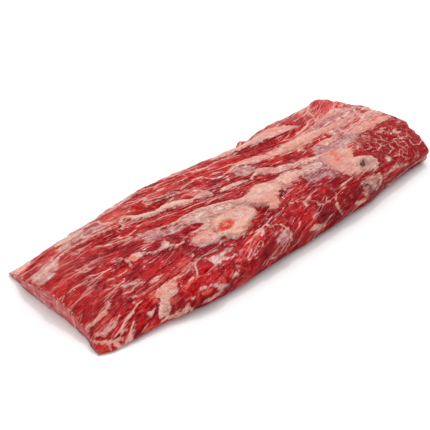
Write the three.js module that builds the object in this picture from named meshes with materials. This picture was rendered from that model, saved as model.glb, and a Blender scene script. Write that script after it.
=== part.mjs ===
import * as THREE from 'three';

// Raw beef rib cap: one long, thin slab of muscle that lies on its flat underside. Fat seams and pads
// stand proud of the lean, which is grooved along its fibres. Millimetres, +Z up. X runs from the thin
// knife-cut end to the thick far end, and Y from the front edge to the back edge.
//
// The slab is a block whose surface is worked out from three numbers between -1 and 1: s along it,
// t across it and r up it. Its relief is laid out on the skin by x and by w, the distance across the
// skin from the slab's crest line, which goes on down the front (w below zero) and back sides.

const HALF_LENGTH = 210;
const ALONG = 74;            // spaces from end to end of the top, an even number
const ACROSS = 50;           // spaces from front to back of the top, an even number
const DOWN = 4;              // spaces down the sides
const UNDERSIDE_REACH = 0.94; // how far the coarser grid of the underside reaches towards its rim
const FLAT_TRIM = 0.4;       // what the flat underside takes off the bulge below the slab
const LEAN_RED = 0x9c2326;

// The outline and the section along the slab: [x, value].
const BACK_EDGE = [[-210, 73], [-190, 71], [-165, 71.5], [-130, 72], [-90, 76], [-45, 77], [0, 72],
  [35, 65.5], [60, 60], [72, 62], [90, 67], [102, 65], [120, 65.5], [145, 62], [175, 64], [210, 62]];
const FRONT_EDGE = [[-210, -58], [-198, -63], [-170, -66], [-140, -69], [-105, -77], [-60, -79.5],
  [50, -79.5], [97, -79.5], [120, -76], [160, -73.5], [210, -72]];
const THICKNESS = [[-210, 20], [-190, 23], [-150, 24], [-60, 26], [40, 28], [120, 29], [180, 28], [210, 25]];
const WIDEST_HEIGHT = [[-210, 2], [-195, 3], [-165, 5], [-100, 7], [0, 8], [210, 8]];
const CREST = [[-210, 0], [-150, -0.05], [-60, -0.1], [60, -0.12], [150, -0.2], [210, -0.15]];

// How square the section's shoulders are, from 1, a straight slope, to 4, nearly a box: [x, power].
const FRONT_SHOULDER = [[-210, 1.1], [-190, 1.6], [-160, 2.4], [-110, 3.2], [-60, 3.8], [0, 4.2],
  [60, 4.4], [150, 4.2], [210, 3.6]];
const BACK_SHOULDER = [[-210, 1.3], [-185, 1.8], [-140, 2.4], [-60, 2.8], [100, 3], [210, 3]];
const LOWER_SHOULDER = 4.5;
const SHEET_REACH = 0.92;    // share of the half-width that the top's grid covers; the sides take the rest

// The two ends, seen from above: [t, x past the nominal end].
const THIN_END = [[-1, 0], [-0.6, 1.5], [0, 2], [0.5, 0], [1, -1]];
const FAR_END = [[-1, -20], [-0.8, -14], [-0.5, -10], [-0.15, -6], [0.1, -13], [0.5, -22], [0.8, -30], [1, -40]];
const FAR_BULGE = 6;         // how far the far end's face swells past its top edge
const FAR_DROP = 0.2;        // share of the thickness that the top loses at the far end's edge
const FAR_DROP_RUN = 8;

// Raised fat lines: height, then [x, w, half-width] along the line.
const FAT_LINES = [
  { height: 0.8, line: [[-208, 42, 4], [-185, 39, 4], [-165, 46, 5], [-138, 47, 4], [-115, 40, 2]] },
  { height: 0.7, line: [[-148, 30, 2], [-120, 18, 2], [-100, 14, 2.5], [-70, 3, 3]] },
  { height: 1.8, line: [[-110, 40, 4], [-98, 36, 4], [-80, 31, 4.5], [-60, 28, 4.5], [-43, 18, 3], [-25, 12, 2]] },
  { height: 1.6, line: [[-75, 3, 4], [-52, 6, 5], [-38, 0, 6], [-18, -7, 6], [5, -7, 6]] },
  { height: 1.2, line: [[-25, 42, 2], [-8, 36, 3], [5, 29, 3.5], [35, 27, 5], [65, 21, 6], [90, 16, 6],
    [120, 14, 7], [150, 5, 5]] },
  { height: 1.3, line: [[20, 3, 3], [40, 3, 5], [60, -6, 5], [85, -14, 7], [100, -17, 7], [130, -22, 6]] },
  { height: 0.9, line: [[140, -2, 8], [170, -5, 8], [198, -12, 6]] },
  { height: 1.0, line: [[70, -63, 2], [55, -75, 3], [52, -84, 2.5]] },
];

// Pads (raised) and hollows (sunk): middle x and w, reach along and across, turn in degrees, height.
const MOUNDS = [
  { at: [-47, -32], reach: [34, 15], turn: -3, height: 3.2 },
  { at: [-43, -29], reach: [9, 6], turn: 0, height: -1.6 },
  { at: [8, -22], reach: [29, 15], turn: -8, height: 2.4 },
  { at: [44, -21], reach: [18, 6], turn: -4, height: 0.8 },
  { at: [-5, -34], reach: [6, 5], turn: 0, height: -2.6 },
  { at: [108, -44], reach: [24, 21], turn: -20, height: 2.2 },
  { at: [114, -54], reach: [7, 5], turn: 0, height: -2.4 },
  { at: [99, 42], reach: [22, 9], turn: 8, height: 1.2 },
  { at: [-135, -55], reach: [13, 12], turn: -40, height: 0.9 },
  { at: [-76, -57], reach: [11, 9], turn: 20, height: 0.9 },
  { at: [-106, -78], reach: [19, 8], turn: 0, height: 2.4 },
  { at: [-72, 40], reach: [26, 6], turn: -6, height: -1.8 },
  { at: [-66, 17], reach: [26, 5], turn: -14, height: -1.0 },
  { at: [-35, -12], reach: [30, 5], turn: -8, height: -1.6 },
  { at: [88, 29], reach: [32, 5], turn: -10, height: -1.4 },
  { at: [80, 5], reach: [44, 5], turn: -5, height: -1.2 },
  { at: [30, -9], reach: [30, 4], turn: -20, height: -0.8 },
  { at: [-118, -16], reach: [28, 9], turn: 4, height: -1.6 },
  { at: [95, -78], reach: [10, 6], turn: 60, height: -2.2 },
  { at: [160, -44], reach: [42, 27], turn: 0, height: -1.2 },
];

// Torn edges: the skin is raised on the side of the line that faces +w, by height, over a run.
const TORN_EDGES = [
  { height: 2.2, run: 12, line: [[-142, 0], [-137, -12], [-120, -9], [-100, -14], [-92, -12]] },
  { height: 1.6, run: 14, line: [[-22, -19], [-2, -42], [14, -38], [31, -29], [34, -20]] },
  { height: 1.2, run: 10, line: [[-75, -38], [-52, -43], [-28, -45], [-11, -34]] },
];

// The lean's bundles of fibres. The back muscle's run falls towards the front along the slab, by this
// much: [x, fall]. The front muscle's run rises along it, more so low on the front side.
const SEAM = [[-210, -22], [-140, -14], [-100, -14], [-60, -26], [0, -34], [60, -32], [120, -48], [210, -80]];
const BACK_RUN = [[-210, 0], [-165, 1], [-120, -3], [-80, -13], [-40, -25], [0, -35], [50, -46],
  [100, -54], [140, -56], [210, -50]];
const FRONT_RISE = 0.12;
const LOW_RISE = 0.3;
const BUNDLES = [{ width: 34, length: 110, height: 1.2 }, { width: 13, length: 75, height: 0.9 },
  { width: 6.5, length: 38, height: 0.5 }];
const SEAM_BLEND = 5;        // how far either side of the seam the two muscles' bundles fade into each other

// The bumps of the two end faces: grid across, grid up and height.
const THIN_FACE = { across: 11, up: 6, height: 0.6 };
const FAR_FACE = { across: 10, up: 7, height: 1.5 };

const clamp = THREE.MathUtils.clamp;
const ease = THREE.MathUtils.smoothstep;

/** A smooth curve through a table's points, with slopes that never overshoot them. */
function smooth(table, at) {
  const last = table.length - 1;
  const slope = (k) => (table[k + 1][1] - table[k][1]) / (table[k + 1][0] - table[k][0]);
  const tangent = (k) => {
    if (k === 0) return slope(0);
    if (k === last) return slope(last - 1);
    const product = slope(k - 1) * slope(k);
    return product > 0 ? (2 * product) / (slope(k - 1) + slope(k)) : 0;
  };
  let k = 0;
  while (k < last - 1 && at > table[k + 1][0]) k += 1;
  const gap = table[k + 1][0] - table[k][0];
  const u = clamp((at - table[k][0]) / gap, 0, 1);
  const start = (2 * u ** 3 - 3 * u ** 2 + 1) * table[k][1] + (u ** 3 - 2 * u ** 2 + u) * gap * tangent(k);
  const end = (3 * u ** 2 - 2 * u ** 3) * table[k + 1][1] + (u ** 3 - u ** 2) * gap * tangent(k + 1);
  return start + end;
}

/** The slab's section at x: how far across and up the point (t, r) of the block's outline lies. */
function section(x) {
  const front = smooth(FRONT_EDGE, x);
  const back = smooth(BACK_EDGE, x);
  const thickness = smooth(THICKNESS, x);
  const widest = smooth(WIDEST_HEIGHT, x);
  const middle = (front + back) / 2 + (smooth(CREST, x) * (back - front)) / 2;
  const shoulders = [smooth(FRONT_SHOULDER, x), smooth(BACK_SHOULDER, x)];
  const place = (t, r) => {
    const power = r > 0 ? shoulders[t < 0 ? 0 : 1] : LOWER_SHOULDER;
    const rounded = (share) => (1 - share ** power) ** (1 / power);
    const across = t * rounded(Math.abs(r) * rounded(SHEET_REACH));
    const up = r * rounded(Math.abs(t) * SHEET_REACH);
    const y = middle + across * (t < 0 ? middle - front : back - middle);
    const z = up > 0 ? widest + (thickness - widest) * up : widest * (1 + up);
    return [y, z];
  };
  return { middle, thickness, place };
}

/** The point of the plain slab, before any relief, for s, t and r. */
function slabPoint(s, t, r) {
  const nearEnd = -HALF_LENGTH + smooth(THIN_END, t);
  const farEnd = HALF_LENGTH + smooth(FAR_END, t);
  const x = nearEnd + ((farEnd - nearEnd) * (s + 1)) / 2;
  const here = section(x);
  const [y, z] = here.place(t, r);
  const height = clamp(z / here.thickness, 0, 1);
  const swell = FAR_BULGE * 4 * height * (1 - height) * ease(s, 0.85, 1);
  const drop = 1 - FAR_DROP * Math.exp(-(((farEnd - x) / FAR_DROP_RUN) ** 2));
  return new THREE.Vector3(x + swell, y, z * drop);
}

/** The distance w over the skin from the crest line, across the top and then down the side. */
function skinDistance(s, t, r) {
  const nearEnd = -HALF_LENGTH + smooth(THIN_END, t);
  const farEnd = HALF_LENGTH + smooth(FAR_END, t);
  const here = section(nearEnd + ((farEnd - nearEnd) * (s + 1)) / 2);
  const side = t < 0 ? -1 : 1;
  const reach = Math.abs(t) < 1 ? Math.abs(t) : 2 - r;
  const steps = 24;
  let [y, z] = here.place(0, 1);
  let run = 0;
  for (let k = 1; k <= steps; k += 1) {
    const u = (reach * k) / steps;
    const [nextY, nextZ] = here.place(side * Math.min(u, 1), Math.min(1, 2 - u));
    run += Math.hypot(nextY - y, nextZ - z);
    [y, z] = [nextY, nextZ];
  }
  return here.middle + side * run;
}

/** Where a point lies beside a polyline: how far off, on which side, and how far along a segment. */
function besideLine(line, x, w) {
  let best = { distance: Infinity };
  for (let k = 0; k + 1 < line.length; k += 1) {
    const [ax, aw] = line[k];
    const [bx, bw] = line[k + 1];
    const share = clamp(((x - ax) * (bx - ax) + (w - aw) * (bw - aw)) / ((bx - ax) ** 2 + (bw - aw) ** 2), 0, 1);
    const distance = Math.hypot(x - ax - share * (bx - ax), w - aw - share * (bw - aw));
    if (distance < best.distance) {
      const across = (bx - ax) * (w - aw) - (bw - aw) * (x - ax);
      const inside = k + share > 0 && k + share < line.length - 1;
      best = { distance, side: Math.sign(across), share, k, inside };
    }
  }
  return best;
}

function fatLineHeight({ height, line }, x, w) {
  const near = besideLine(line, x, w);
  const half = THREE.MathUtils.lerp(line[near.k][2], line[near.k + 1][2], near.share);
  return height * (1 - ease(near.distance / half, 0.35, 1.25));
}

function moundHeight({ at, reach, turn, height }, x, w) {
  const angle = THREE.MathUtils.degToRad(turn);
  const along = (x - at[0]) * Math.cos(angle) + (w - at[1]) * Math.sin(angle);
  const across = (w - at[1]) * Math.cos(angle) - (x - at[0]) * Math.sin(angle);
  return height * (1 - ease(Math.hypot(along / reach[0], across / reach[1]), 0.45, 1.15));
}

function tornEdgeHeight({ height, run, line }, x, w) {
  const near = besideLine(line, x, w);
  if (!near.inside) return 0;
  const off = near.distance * near.side;
  return height * ease(off, -2.5, 1) * (1 - ease(off, 1, run));
}

/** A repeatable even spread of numbers from -1 to 1 over whole steps of a grid. */
function scatter(i, j, seed) {
  const spread = Math.sin(i * 127.1 + j * 311.7 + seed * 74.7) * 43758.5453;
  return 2 * (spread - Math.floor(spread)) - 1;
}

/** Smooth hills and valleys between the grid's scattered heights. */
function hills(u, v, seed) {
  const [i, j] = [Math.floor(u), Math.floor(v)];
  const [a, b] = [ease(u - i, 0, 1), ease(v - j, 0, 1)];
  const near = THREE.MathUtils.lerp(scatter(i, j, seed), scatter(i + 1, j, seed), a);
  const far = THREE.MathUtils.lerp(scatter(i, j + 1, seed), scatter(i + 1, j + 1, seed), a);
  return THREE.MathUtils.lerp(near, far, b);
}

/** The distance across the fibres, which is the same all along one fibre, in either muscle. */
function acrossBackFibres(x, w) {
  return w - smooth(BACK_RUN, x);
}

function acrossFrontFibres(x, w) {
  const lift = LOW_RISE * (1 - ease(w, -95, -45)) * 70 * Math.tanh((x - 25) / 70);
  return w - FRONT_RISE * x - lift;
}

function bundleHeight(x, w) {
  const heightAt = (across) => BUNDLES.reduce((sum, { width, length, height }, k) =>
    sum + height * hills(x / length, across / width, k + 1), 0);
  const back = ease(w - smooth(SEAM, x), -SEAM_BLEND, SEAM_BLEND);
  return THREE.MathUtils.lerp(heightAt(acrossFrontFibres(x, w)), heightAt(acrossBackFibres(x, w)), back);
}

/** How far the skin stands off the plain slab at (x, w). */
function relief(x, w) {
  const lines = FAT_LINES.reduce((top, item) => Math.max(top, fatLineHeight(item, x, w)), 0);
  const mounds = MOUNDS.reduce((sum, item) => sum + moundHeight(item, x, w), 0);
  const torn = TORN_EDGES.reduce((sum, item) => sum + tornEdgeHeight(item, x, w), 0);
  return lines + mounds + torn + bundleHeight(x, w) * (1 - 0.7 * ease(lines, 0.3, 1));
}

/** How far an end face stands out at (y, z), which is its knife cut's or its torn meat's bumps. */
function faceRelief({ across, up, height }, y, z) {
  return height * hills(y / across, z / up, 9);
}

/** The block's outer grid: a fine top, sides that go round it, and an underside half as fine. */
function blockGrid() {
  const points = [];
  const quads = [];
  const triangles = [];
  const add = (s, t, r) => points.push([s, t, r]) - 1;
  const next = (list, k) => list[(k + 1) % list.length];
  const sheet = (along, across, reach, r) => Array.from({ length: along + 1 }, (_, i) =>
    Array.from({ length: across + 1 }, (_, j) =>
      add(reach * ((2 * i) / along - 1), reach * ((2 * j) / across - 1), r)));
  const rimOf = (grid) => {
    const [n, m] = [grid.length - 1, grid[0].length - 1];
    return [
      ...grid.slice(0, n).map((row) => row[0]),
      ...grid[n].slice(0, m),
      ...grid.slice(1).reverse().map((row) => row[m]),
      ...grid[0].slice(1).reverse(),
    ];
  };
  const fill = (grid, up) => {
    for (let i = 0; i + 1 < grid.length; i += 1) {
      for (let j = 0; j + 1 < grid[0].length; j += 1) {
        const round = [grid[i][j], grid[i + 1][j], grid[i + 1][j + 1], grid[i][j + 1]];
        quads.push(up ? round : round.reverse());
      }
    }
  };

  const top = sheet(ALONG, ACROSS, 1, 1);
  fill(top, true);
  let ring = rimOf(top);
  const onRim = ring.map((index) => points[index]);
  for (let step = 1; step <= DOWN; step += 1) {
    const upper = ring;
    const lower = onRim.map(([s, t]) => add(s, t, 1 - (2 * step) / DOWN));
    upper.forEach((corner, k) => quads.push([corner, lower[k], next(lower, k), next(upper, k)]));
    ring = lower;
  }
  const underside = sheet(ALONG / 2, ACROSS / 2, UNDERSIDE_REACH, -1);
  fill(underside, false);
  const inner = rimOf(underside);
  inner.forEach((near, k) => {
    const [a, b, c] = [ring[2 * k], ring[2 * k + 1], next(ring, 2 * k + 1)];
    triangles.push(a, near, b, b, near, next(inner, k), b, next(inner, k), c);
  });
  return { points, quads, triangles };
}

/** Splits each four-sided face by its more level diagonal, so that a ridge isn't notched. */
function splitFaces({ quads, triangles }, places) {
  const fall = (p, q) => Math.abs(places[p].z - places[q].z);
  const halves = quads.flatMap(([a, b, c, d]) =>
    fall(a, c) < fall(b, d) ? [a, b, c, a, c, d] : [a, b, d, b, c, d]);
  return [...halves, ...triangles];
}

function surfaceOf(grid, places) {
  const geometry = new THREE.BufferGeometry().setFromPoints(places);
  geometry.setIndex(splitFaces(grid, places));
  geometry.computeVertexNormals();
  return geometry;
}

/** The whole slab: the plain block pushed out and in along its normals by the relief. */
function capGeometry() {
  const grid = blockGrid();
  const places = grid.points.map(([s, t, r]) => slabPoint(s, t, r));
  const { normal } = surfaceOf(grid, places).attributes;
  grid.points.forEach(([s, t, r], k) => {
    const place = places[k];
    const onFace = Math.abs(s) === 1 && r < 1;
    const bumps = onFace
      ? faceRelief(s < 0 ? THIN_FACE : FAR_FACE, place.y, place.z)
      : relief(place.x, skinDistance(s, t, r));
    const height = r > -1 ? ease(place.z, 1.5, 6) * bumps : 0;
    place.addScaledVector(new THREE.Vector3().fromBufferAttribute(normal, k), height);
    place.z = Math.max(0, place.z - FLAT_TRIM);
  });
  const geometry = surfaceOf(grid, places);
  geometry.computeBoundingBox();
  const { min, max } = geometry.boundingBox;
  return geometry.translate(-(min.x + max.x) / 2, -(min.y + max.y) / 2, -min.z);
}

const lean = new THREE.MeshStandardMaterial({ color: LEAN_RED, roughness: 0.42, metalness: 0 });
const ribCap = new THREE.Mesh(capGeometry(), lean);
ribCap.name = 'rib_cap';

const model = new THREE.Group();
model.add(ribCap);

export default model;
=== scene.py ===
"""The looks of a raw beef ribeye cap: a long, thin slab of lean with cream fat seams and pads, grey-purple
silverskin, two round eyes in the fat, a knife-cut thin end and a far end cut across its fibres.

The slab's surface is worked out in millimetres from three numbers between -1 and 1: s along it,
t across it and r up it. Everything on it is laid out by x and by w, the distance over the skin
from the slab's crest line, which goes on down the front side (w below zero) and the back side.
"""
import math
from types import SimpleNamespace

import bpy
import numpy as np
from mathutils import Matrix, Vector


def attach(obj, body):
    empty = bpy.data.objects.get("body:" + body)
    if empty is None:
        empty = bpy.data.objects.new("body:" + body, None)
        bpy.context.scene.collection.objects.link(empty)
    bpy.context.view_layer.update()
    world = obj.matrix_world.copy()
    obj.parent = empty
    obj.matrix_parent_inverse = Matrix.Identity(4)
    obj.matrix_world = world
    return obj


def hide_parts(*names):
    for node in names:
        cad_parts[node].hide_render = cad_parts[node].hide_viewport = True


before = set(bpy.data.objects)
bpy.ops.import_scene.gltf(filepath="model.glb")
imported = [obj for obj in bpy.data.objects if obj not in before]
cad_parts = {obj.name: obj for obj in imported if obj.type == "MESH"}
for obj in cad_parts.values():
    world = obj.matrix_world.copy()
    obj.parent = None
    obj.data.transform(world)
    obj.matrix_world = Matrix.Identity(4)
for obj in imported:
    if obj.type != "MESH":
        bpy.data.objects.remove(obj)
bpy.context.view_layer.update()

MM = 0.001
HALF_LENGTH = 210.0      # of the plain slab, before its ends are shaped

# The grid: spaces along and across the top, down the sides, and how far the half-fine underside reaches.
ALONG, ACROSS, DOWN = 400, 160, 10
UNDERSIDE_REACH = 0.97
FLAT_TRIM = 0.4          # taken off the bottom, so that the slab lies flat

# The camera: how far round and above, from a point on the slab, with the photograph's perspective.
CAMERA_ROUND, CAMERA_ABOVE = -42.4, 40.0
CAMERA_AWAY = 960.0
CAMERA_POINT = (-30.0, 0.0, 12.0)
SENSOR = 36.0
FOCAL_PIXELS, PICTURE_PIXELS = 1031.0, 430.0
LENS = FOCAL_PIXELS / PICTURE_PIXELS * SENSOR

# The lights, in degrees round from the front edge's side and above the floor, each one's strength and
# spread, the sky's strength, and the floor: its half-width in metres and its gap under the slab.
LIGHT_ROUND, LIGHT_ABOVE = 128, 56
KEY_LIGHT, GLINT_LIGHT = (1.43, 58), (0.55, 6)
SKY_STRENGTH = 0.66
FLOOR_REACH, FLOOR_GAP = 6.0, 0.2

# The outline and the section along the slab: (x, value).
BACK_EDGE = [(-210, 73), (-190, 71), (-165, 71.5), (-130, 72), (-90, 76), (-45, 77), (0, 72),
             (35, 65.5), (60, 60), (72, 62), (90, 67), (102, 65), (120, 65.5), (145, 62), (175, 64),
             (210, 62)]
FRONT_EDGE = [(-210, -58), (-198, -63), (-170, -66), (-140, -69), (-105, -77), (-60, -79.5),
              (50, -79.5), (97, -79.5), (120, -76), (160, -73.5), (210, -72)]
THICKNESS = [(-210, 20), (-190, 23), (-150, 24), (-60, 26), (40, 28), (120, 29), (180, 28), (210, 25)]
WIDEST_HEIGHT = [(-210, 2), (-195, 3), (-165, 5), (-100, 7), (0, 8), (210, 8)]
CREST = [(-210, 0), (-150, -0.05), (-60, -0.1), (60, -0.12), (150, -0.2), (210, -0.15)]

# How square the section's shoulders are, from 1, a straight slope, to over 4, nearly a box: (x, power).
FRONT_SHOULDER = [(-210, 1.1), (-190, 1.6), (-160, 2.4), (-110, 3.2), (-60, 3.8), (0, 4.2), (60, 4.4),
                  (150, 4.2), (210, 3.6)]
BACK_SHOULDER = [(-210, 1.3), (-185, 1.8), (-140, 2.4), (-60, 2.8), (100, 3), (210, 3)]
LOWER_SHOULDER = 4.5
SHEET_REACH = 0.92

# The two ends, seen from above: (t, x past the nominal end), how far the far face swells, and from
# which s, how far its top edge drops, and each end's wander: size, changes across the slab and seed.
THIN_END = [(-1, 0), (-0.85, 1), (-0.6, 3.5), (-0.35, 2.5), (0, 2), (0.25, -0.5), (0.5, -0.5), (1, -1)]
FAR_END = [(-1, -22), (-0.8, -17), (-0.5, -11), (-0.15, -4), (0.1, -9), (0.5, -20), (0.8, -30),
           (1, -40)]
FAR_BULGE, FAR_BULGE_START = 5.0, 0.85
FAR_DROP, FAR_DROP_RUN = 0.05, 6.0
THIN_WANDER, FAR_WANDER = (0.9, 9, 51), (1.8, 11, 52)

# Raised fat lines: height, then (x, w, half-width) along the line.
FAT_LINES = [
    # The back muscle, from the thin end on.
    (0.4, [(-208, 35.5, 1), (-198, 36.5, 2.6), (-187, 38.5, 3), (-179, 41, 1.4)]),
    (0.7, [(-187, 40, 1.2), (-176, 44, 1.1), (-160, 46, 1.1), (-148, 45.5, 1.2), (-135, 44, 1),
           (-124, 42, 0.9), (-112, 40, 1)]),
    (0.4, [(-168, 61, 1.5), (-158, 58, 2.6), (-148, 58, 2.6), (-138, 60, 1.5)]),
    (0.6, [(-123, 53, 0.9), (-118, 50, 2.4), (-114, 46, 1.6), (-111, 41, 0.8)]),
    (1.6, [(-111, 40, 1.4), (-106, 43, 2.8), (-101, 42, 2.5), (-96, 36, 2.2), (-90, 32.5, 2.1),
           (-80, 29, 2.5), (-70, 27.5, 3), (-60, 25.5, 3.8), (-52, 22, 4), (-45, 18.5, 2.2)]),
    (1.0, [(-45, 18.5, 1.5), (-33, 17.5, 3), (-27, 16, 3.4), (-24, 12, 2)]),
    (0.3, [(-178, 15, 0.9), (-152, 15.5, 0.7)]),
    (0.6, [(-146, 30, 0.9), (-138, 25, 1), (-128, 21.5, 1), (-118, 18, 1), (-108, 15.5, 1),
           (-98, 13, 1), (-90, 10.5, 1), (-84, 7, 1.2), (-79, 3, 1.2)]),
    (1.5, [(-80, 4, 1), (-74, 2.8, 1), (-66, 4, 1.4), (-58, 4.6, 1.8), (-51, 4, 2.2), (-46, 1.6, 2.4),
           (-38, -1.5, 2.6), (-30, -4.5, 2.4), (-22, -7, 2), (-16, -9.5, 1.4)]),
    (0.5, [(-76, 45, 0.5), (-60, 41.5, 0.6), (-46, 36, 0.6), (-38, 32, 0.5), (-28, 29, 0.5)]),
    (0.5, [(-62, 44, 0.4), (-48, 39, 0.5), (-42, 34, 0.5)]),
    (1.0, [(-40, 37, 0.5), (-22, 39, 0.8), (-14, 37, 1), (-11, 31, 1), (-6, 26, 1), (2, 24, 1.1),
           (12, 24.5, 1.3), (18, 27, 1.8), (27, 26, 3.6), (40, 21.5, 5), (55, 17.5, 4.5), (75, 15, 5.5),
           (88, 13, 8), (100, 12, 7.5), (115, 11, 6), (130, 9, 4.5), (145, 7, 3.5), (162, 8, 2.5),
           (178, 10, 1.2)]),
    (1.3, [(16, 56, 2), (30, 53, 4.5), (45, 51.5, 6), (58, 50, 7.5), (72, 48, 8.5), (88, 45, 10),
           (100, 39, 7), (110, 34, 3)]),
    (0.3, [(118, 42, 0.6), (138, 46, 0.9), (160, 50, 0.6)]),
    (0.5, [(130, 27, 0.8), (145, 25, 1.6), (165, 22, 2), (185, 16, 1.4), (196, 10, 0.8)]),
    (0.5, [(100, 60, 0.8), (116, 56, 1.8), (136, 54, 2), (152, 56, 1)]),
    (0.8, [(-13, 55, 0.6), (-13.5, 50, 1), (-8, 47, 0.9), (-7, 52, 0.6)]),
    (0.4, [(-24, 60, 0.6), (-22, 54, 0.7), (-23, 50, 0.5)]),
    (0.9, [(-16, 8.5, 1.2), (-8, 8.5, 2.2), (0, 7, 2.6), (8, 4.5, 2), (14, 3, 1)]),
    (1.3, [(17, 2, 0.8), (26, 4.5, 2), (33, 5, 3.8), (39, 0.5, 4.4), (47, -5.5, 4), (61, -10.5, 4),
           (75, -14.5, 4), (88, -18, 3.4), (105, -21, 2)]),
    (0.6, [(136, -9, 1.5), (150, -12, 4.5), (168, -12, 5.5), (184, -13, 5), (200, -15, 3)]),
    # The front muscle, from the thin end on.
    (0.3, [(-198, -1, 0.7), (-178, -1, 0.6)]),
    (0.8, [(-147, 2.5, 0.6), (-142, 1.5, 0.9), (-139, -4, 0.8), (-138, -9, 0.9), (-139.5, -14, 0.6)]),
    (0.4, [(-130, -4, 1.5), (-124, -5.5, 2.2), (-120, -8, 1)]),
    (0.3, [(-120, -9, 0.6), (-113, -13, 0.9), (-105, -13.5, 1.2), (-101, -13, 2), (-98, -16, 1.2),
           (-93, -19, 0.9), (-86, -20, 0.9)]),
    (0.5, [(-208, -36, 1.3), (-196, -37.5, 1.5), (-186, -36.5, 1.5), (-180, -33, 1.1),
           (-177, -28, 0.8)]),
    (0.3, [(-166, -20, 0.4), (-157, -27, 0.6), (-147, -31, 0.6)]),
    (0.4, [(-204, -47, 1), (-198, -51, 2.4), (-188, -50, 2), (-180, -47, 0.8)]),
    (0.5, [(-208, -49, 0.9), (-203, -56, 1.2), (-196, -61, 1.5), (-189, -64, 1)]),
    (0.3, [(-187, -60, 1), (-182, -60, 1)]),
    (0.3, [(-160, -40, 0.7), (-151, -44, 0.8)]),
    (0.4, [(-140, -37, 1), (-133, -37.5, 2.2), (-127, -38, 1)]),
    (0.3, [(-125, -49, 0.8), (-107, -46.5, 0.7), (-88, -44, 0.6)]),
    (0.4, [(-152, -73, 1), (-142, -75, 2), (-130, -77.5, 2.2), (-125, -75, 1)]),
    (0.6, [(-126, -75, 0.7), (-124.5, -80, 0.8), (-124, -87, 0.8)]),
    (0.7, [(-121, -73, 0.9), (-111, -71.5, 0.9), (-101, -74, 1.6), (-93, -78.5, 2.4), (-88, -81, 1.6)]),
    (0.4, [(-113, -81, 1), (-102, -83.5, 1.6), (-92, -84, 1.6)]),
    (0.8, [(-16, -59, 0.6), (-10, -60, 1.1), (-6, -63, 1.2), (-5.5, -72, 1.3), (-8, -79, 1.3),
           (-17, -85, 1.2), (-28, -86, 1), (-40, -83, 0.7)]),
    (0.4, [(-81, -77, 1.2), (-74, -79, 1.4), (-70, -74, 0.7)]),
    (0.6, [(20, -47, 0.5), (24, -50, 0.9), (30, -55, 0.5), (36, -60, 0.5), (41, -68, 0.4)]),
    (0.5, [(16, -82, 1), (21, -83, 2.2), (28, -86, 3.2), (35, -88, 2)]),
    (1.0, [(64, -66, 0.4), (59, -70, 1.2), (54, -76, 1.4), (54, -81, 0.7), (58, -88, 0.5)]),
    (0.5, [(76, -85, 1.4), (82, -88, 3), (90, -90, 2)]),
    (0.5, [(88, -80, 1), (92, -83, 2.2), (95, -85, 1)]),
    (0.6, [(99, -73, 1.4), (104, -76, 1.6)]),
    (0.6, [(118, -72, 1), (117, -78, 1.8), (112, -82, 1.4), (106, -86, 0.8)]),
    (0.6, [(104, -72, 1), (118, -75.5, 1.4), (130, -75, 1.4), (142, -74, 1.6), (150, -76, 1.2),
           (160, -79, 0.7)]),
    (0.5, [(137, -66, 0.6), (140, -63, 1.2), (142, -60, 0.6)]),
    (0.5, [(168, -31, 0.8), (173, -27, 1.6), (177, -28, 0.6)]),
]

# Fat pads: height, then the outline as (x, w).
FAT_PADS = {
    "knob": (2.6, [(-57, -30), (-62, -39), (-55, -41), (-48, -49), (-38, -49), (-31, -46), (-22, -42),
                   (-14, -40), (-8, -34), (-12, -26), (-21, -20), (-30, -17), (-42, -16), (-52, -18),
                   (-58, -23)]),
    "knob's skirt": (0.9, [(-80, -27), (-76, -22), (-66, -22), (-57, -22), (-56, -32), (-60, -38),
                           (-66, -38), (-74, -34)]),
    "middle pad": (2.2, [(-20, -11), (-5, -11), (16, -6), (24, -11), (30, -18), (30, -25), (26, -31),
                         (18, -34), (15, -38), (12, -43), (5, -45), (0, -43), (1, -37), (-2, -32),
                         (-7, -29), (-12, -22)]),
    "grey strip": (0.9, [(29, -14), (38, -14.5), (48, -15), (58, -20), (54, -24), (44, -27), (34, -27),
                         (30, -22)]),
    "front patch": (0.7, [(-152, -69), (-146, -73), (-140, -70), (-137, -61), (-126, -61), (-122, -54),
                          (-124, -47), (-140, -47), (-146, -50), (-143, -56), (-149, -60)]),
    "grey-eye pad": (1.8, [(86, -24), (85, -38), (87, -50), (92, -59), (104, -62), (112, -66),
                           (122, -67), (129, -60), (130, -51), (124, -46), (115, -42), (118, -35),
                           (124, -29), (114, -24), (100, -21)]),
    "cut end's upper lump": (0.6, [(165, -27), (172, -26), (173, -31), (167, -32)]),
    "cut end's star": (0.3, [(180, -36), (185, -36), (184, -42), (179, -44), (178, -40)]),
    "cut end's lower lump": (0.6, [(138, -61), (143, -60), (143, -66), (139, -67)]),
    "torn flap": (0.5, [(-137, -3), (-131, -2), (-124, -4), (-120, -8), (-127, -9.5), (-134, -10)]),
    "torn flap's tip": (0.4, [(-109, -13), (-103, -9), (-97, -7), (-97, -13), (-100, -16)]),
    "film flap": (0.6, [(106, -2), (117, -1.5), (124, -6), (118, -10), (109, -12)]),
}

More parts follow.
